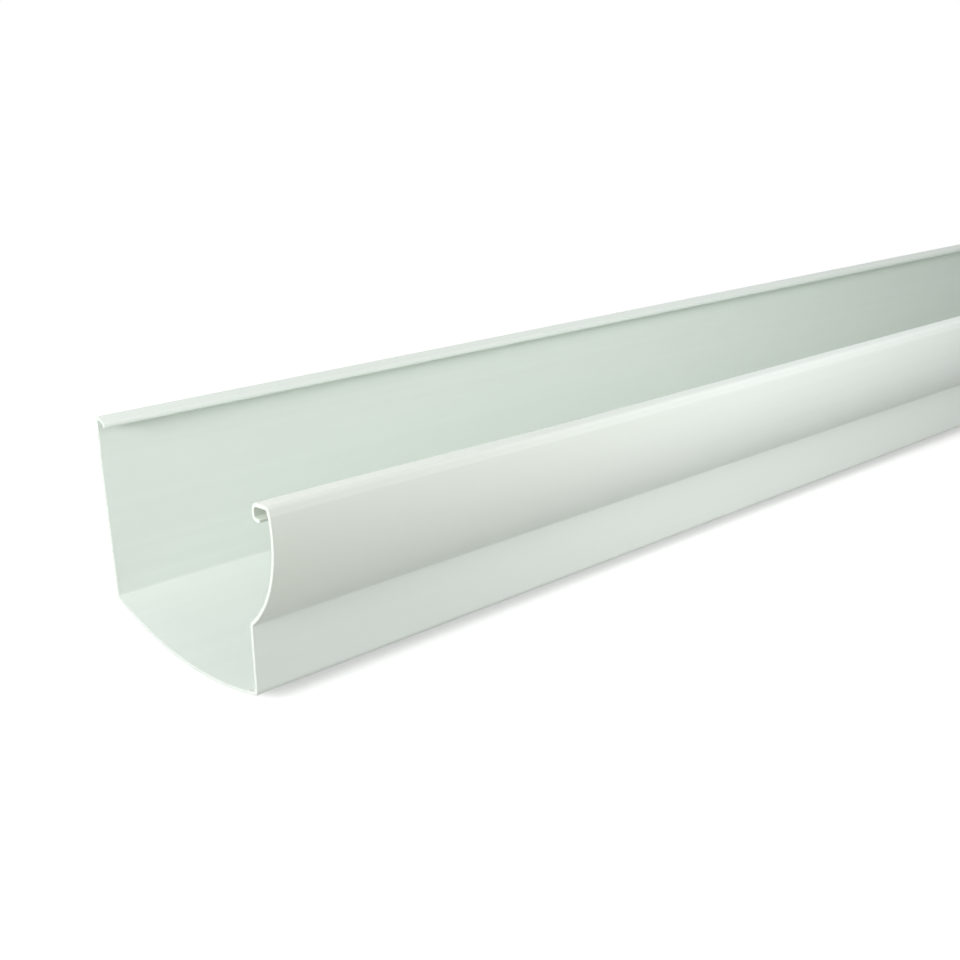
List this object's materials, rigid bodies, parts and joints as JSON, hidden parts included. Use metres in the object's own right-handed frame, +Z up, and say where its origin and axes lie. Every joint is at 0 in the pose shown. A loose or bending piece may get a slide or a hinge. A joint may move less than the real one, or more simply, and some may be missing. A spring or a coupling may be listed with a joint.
{
  "type": "gutter section",
  "caption": "Straight length of ogee eaves gutter in rigid plastic: flat back with a small top hook, curved sole, upright fascia, bulging ogee and a rolled front bead.",
  "frame": {"origin": "middle of the base: bottom centre of the bounding box, on the level floor that the gutter lies on", "axes": "+X along the length, -Y towards the ogee front, +Z up and out of the open channel"},
  "size_m": [2, 0.132, 0.0899],
  "materials": {
    "upvc": "satin pale grey-green white uPVC, as extruded, sawn ends"
  },
  "bodies": {
    "root": {"gutter_section": "upvc"}
  },
  "joints": []
}
